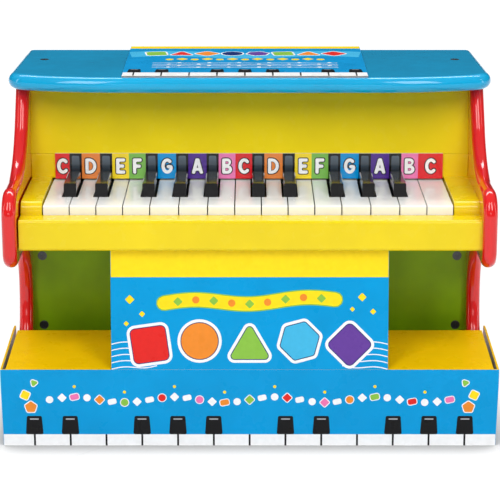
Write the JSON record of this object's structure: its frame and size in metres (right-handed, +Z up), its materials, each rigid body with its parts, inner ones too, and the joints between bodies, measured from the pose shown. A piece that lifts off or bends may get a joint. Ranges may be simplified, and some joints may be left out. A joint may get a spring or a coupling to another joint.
{
  "type": "toy upright piano",
  "caption": "Wooden toy upright piano with lever keys that knock graded steel tone bars, a lift-off song book and a pull-off card display sleeve.",
  "frame": {"origin": "on the floor, under the middle of the box round the whole object", "axes": "+X to the player's right along the keys, +Y from the player to the back, +Z up"},
  "size_m": [0.411, 0.245, 0.2952],
  "materials": {
    "red_paint": "gloss paint over wood",
    "blue_paint": "gloss paint over wood",
    "yellow_paint": "gloss paint over wood",
    "green_paint": "satin paint over hardboard",
    "printed_strip": "glossy print",
    "felt": "pressed felt",
    "bare_wood": "planed",
    "hardboard": "pressed board",
    "tone_steel": "ground",
    "screw_steel": "plain",
    "rubber_pad": "matt",
    "book_cover": "gloss printed card",
    "paper": "matt paper",
    "printed_card": "gloss printed card",
    "white_key": "gloss",
    "black_key": "gloss"
  },
  "bodies": {
    "piano": {"side_left": "red_paint", "side_right": "red_paint", "lid": "blue_paint", "lid_screws": "screw_steel", "upper_panel": "yellow_paint", "fallboard": "yellow_paint", "note_guide": "printed_strip", "key_slip": "yellow_paint", "cheek_left": "yellow_paint", "cheek_right": "yellow_paint", "key_bed": "yellow_paint", "front_felt": "felt", "back_rail": "bare_wood", "back_felt": "felt", "pivot_rail": "bare_wood", "pivot_rod": "tone_steel", "tone_rail_front": "bare_wood", "tone_rail_back": "bare_wood", "tone_felts": "felt", "tone_bars": "tone_steel", "tone_nails": "tone_steel", "lower_panel": "green_paint", "panel_screws": "screw_steel", "corner_cleats": "bare_wood", "base_board": "bare_wood", "back_panel": "hardboard", "back_screws": "screw_steel", "foot_pads": "rubber_pad"},
    "key_c1": {"key_c1": "white_key"},
    "key_csharp1": {"key_csharp1": "black_key"},
    "key_d1": {"key_d1": "white_key"},
    "key_dsharp1": {"key_dsharp1": "black_key"},
    "key_e1": {"key_e1": "white_key"},
    "key_f1": {"key_f1": "white_key"},
    "key_fsharp1": {"key_fsharp1": "black_key"},
    "key_g1": {"key_g1": "white_key"},
    "key_gsharp1": {"key_gsharp1": "black_key"},
    "key_a1": {"key_a1": "white_key"},
    "key_asharp1": {"key_asharp1": "black_key"},
    "key_b1": {"key_b1": "white_key"},
    "key_c2": {"key_c2": "white_key"},
    "key_csharp2": {"key_csharp2": "black_key"},
    "key_d2": {"key_d2": "white_key"},
    "key_dsharp2": {"key_dsharp2": "black_key"},
    "key_e2": {"key_e2": "white_key"},
    "key_f2": {"key_f2": "white_key"},
    "key_fsharp2": {"key_fsharp2": "black_key"},
    "key_g2": {"key_g2": "white_key"},
    "key_gsharp2": {"key_gsharp2": "black_key"},
    "key_a2": {"key_a2": "white_key"},
    "key_asharp2": {"key_asharp2": "black_key"},
    "key_b2": {"key_b2": "white_key"},
    "key_c3": {"key_c3": "white_key"},
    "songbook": {"songbook_cover": "book_cover", "songbook_pages": "paper"},
    "sleeve": {"display_sleeve": "printed_card"}
  },
  "joints": [
    {"name": "c1_press", "type": "hinge", "parent": "piano", "child": "key_c1", "pos_m": [0, 0.0275, 0.1905], "axis": [1, 0, 0], "range_deg": [0, 2.9], "stiffness_Nm_per_rad": 0.4, "springref_deg": -4.58},
    {"name": "csharp1_press", "type": "hinge", "parent": "piano", "child": "key_csharp1", "pos_m": [0, 0.0275, 0.1905], "axis": [1, 0, 0], "range_deg": [0, 2.9], "stiffness_Nm_per_rad": 0.4, "springref_deg": -4.58},
    {"name": "d1_press", "type": "hinge", "parent": "piano", "child": "key_d1", "pos_m": [0, 0.0275, 0.1905], "axis": [1, 0, 0], "range_deg": [0, 2.9], "stiffness_Nm_per_rad": 0.4, "springref_deg": -4.58},
    {"name": "dsharp1_press", "type": "hinge", "parent": "piano", "child": "key_dsharp1", "pos_m": [0, 0.0275, 0.1905], "axis": [1, 0, 0], "range_deg": [0, 2.9], "stiffness_Nm_per_rad": 0.4, "springref_deg": -4.58},
    {"name": "e1_press", "type": "hinge", "parent": "piano", "child": "key_e1", "pos_m": [0, 0.0275, 0.1905], "axis": [1, 0, 0], "range_deg": [0, 2.9], "stiffness_Nm_per_rad": 0.4, "springref_deg": -4.58},
    {"name": "f1_press", "type": "hinge", "parent": "piano", "child": "key_f1", "pos_m": [0, 0.0275, 0.1905], "axis": [1, 0, 0], "range_deg": [0, 2.9], "stiffness_Nm_per_rad": 0.4, "springref_deg": -4.58},
    {"name": "fsharp1_press", "type": "hinge", "parent": "piano", "child": "key_fsharp1", "pos_m": [0, 0.0275, 0.1905], "axis": [1, 0, 0], "range_deg": [0, 2.9], "stiffness_Nm_per_rad": 0.4, "springref_deg": -4.58},
    {"name": "g1_press", "type": "hinge", "parent": "piano", "child": "key_g1", "pos_m": [0, 0.0275, 0.1905], "axis": [1, 0, 0], "range_deg": [0, 2.9], "stiffness_Nm_per_rad": 0.4, "springref_deg": -4.58},
    {"name": "gsharp1_press", "type": "hinge", "parent": "piano", "child": "key_gsharp1", "pos_m": [0, 0.0275, 0.1905], "axis": [1, 0, 0], "range_deg": [0, 2.9], "stiffness_Nm_per_rad": 0.4, "springref_deg": -4.58},
    {"name": "a1_press", "type": "hinge", "parent": "piano", "child": "key_a1", "pos_m": [0, 0.0275, 0.1905], "axis": [1, 0, 0], "range_deg": [0, 2.9], "stiffness_Nm_per_rad": 0.4, "springref_deg": -4.58},
    {"name": "asharp1_press", "type": "hinge", "parent": "piano", "child": "key_asharp1", "pos_m": [0, 0.0275, 0.1905], "axis": [1, 0, 0], "range_deg": [0, 2.9], "stiffness_Nm_per_rad": 0.4, "springref_deg": -4.58},
    {"name": "b1_press", "type": "hinge", "parent": "piano", "child": "key_b1", "pos_m": [0, 0.0275, 0.1905], "axis": [1, 0, 0], "range_deg": [0, 2.9], "stiffness_Nm_per_rad": 0.4, "springref_deg": -4.58},
    {"name": "c2_press", "type": "hinge", "parent": "piano", "child": "key_c2", "pos_m": [0, 0.0275, 0.1905], "axis": [1, 0, 0], "range_deg": [0, 2.9], "stiffness_Nm_per_rad": 0.4, "springref_deg": -4.58},
    {"name": "csharp2_press", "type": "hinge", "parent": "piano", "child": "key_csharp2", "pos_m": [0, 0.0275, 0.1905], "axis": [1, 0, 0], "range_deg": [0, 2.9], "stiffness_Nm_per_rad": 0.4, "springref_deg": -4.58},
    {"name": "d2_press", "type": "hinge", "parent": "piano", "child": "key_d2", "pos_m": [0, 0.0275, 0.1905], "axis": [1, 0, 0], "range_deg": [0, 2.9], "stiffness_Nm_per_rad": 0.4, "springref_deg": -4.58},
    {"name": "dsharp2_press", "type": "hinge", "parent": "piano", "child": "key_dsharp2", "pos_m": [0, 0.0275, 0.1905], "axis": [1, 0, 0], "range_deg": [0, 2.9], "stiffness_Nm_per_rad": 0.4, "springref_deg": -4.58},
    {"name": "e2_press", "type": "hinge", "parent": "piano", "child": "key_e2", "pos_m": [0, 0.0275, 0.1905], "axis": [1, 0, 0], "range_deg": [0, 2.9], "stiffness_Nm_per_rad": 0.4, "springref_deg": -4.58},
    {"name": "f2_press", "type": "hinge", "parent": "piano", "child": "key_f2", "pos_m": [0, 0.0275, 0.1905], "axis": [1, 0, 0], "range_deg": [0, 2.9], "stiffness_Nm_per_rad": 0.4, "springref_deg": -4.58},
    {"name": "fsharp2_press", "type": "hinge", "parent": "piano", "child": "key_fsharp2", "pos_m": [0, 0.0275, 0.1905], "axis": [1, 0, 0], "range_deg": [0, 2.9], "stiffness_Nm_per_rad": 0.4, "springref_deg": -4.58},
    {"name": "g2_press", "type": "hinge", "parent": "piano", "child": "key_g2", "pos_m": [0, 0.0275, 0.1905], "axis": [1, 0, 0], "range_deg": [0, 2.9], "stiffness_Nm_per_rad": 0.4, "springref_deg": -4.58},
    {"name": "gsharp2_press", "type": "hinge", "parent": "piano", "child": "key_gsharp2", "pos_m": [0, 0.0275, 0.1905], "axis": [1, 0, 0], "range_deg": [0, 2.9], "stiffness_Nm_per_rad": 0.4, "springref_deg": -4.58},
    {"name": "a2_press", "type": "hinge", "parent": "piano", "child": "key_a2", "pos_m": [0, 0.0275, 0.1905], "axis": [1, 0, 0], "range_deg": [0, 2.9], "stiffness_Nm_per_rad": 0.4, "springref_deg": -4.58},
    {"name": "asharp2_press", "type": "hinge", "parent": "piano", "child": "key_asharp2", "pos_m": [0, 0.0275, 0.1905], "axis": [1, 0, 0], "range_deg": [0, 2.9], "stiffness_Nm_per_rad": 0.4, "springref_deg": -4.58},
    {"name": "b2_press", "type": "hinge", "parent": "piano", "child": "key_b2", "pos_m": [0, 0.0275, 0.1905], "axis": [1, 0, 0], "range_deg": [0, 2.9], "stiffness_Nm_per_rad": 0.4, "springref_deg": -4.58},
    {"name": "c3_press", "type": "hinge", "parent": "piano", "child": "key_c3", "pos_m": [0, 0.0275, 0.1905], "axis": [1, 0, 0], "range_deg": [0, 2.9], "stiffness_Nm_per_rad": 0.4, "springref_deg": -4.58},
    {"name": "songbook_lift", "type": "slide", "parent": "piano", "child": "songbook", "axis": [0, 0, 1], "range_m": [0, 0.06]},
    {"name": "sleeve_pull", "type": "slide", "parent": "piano", "child": "sleeve", "axis": [0, -1, 0], "range_m": [0, 0.13]}
  ]
}
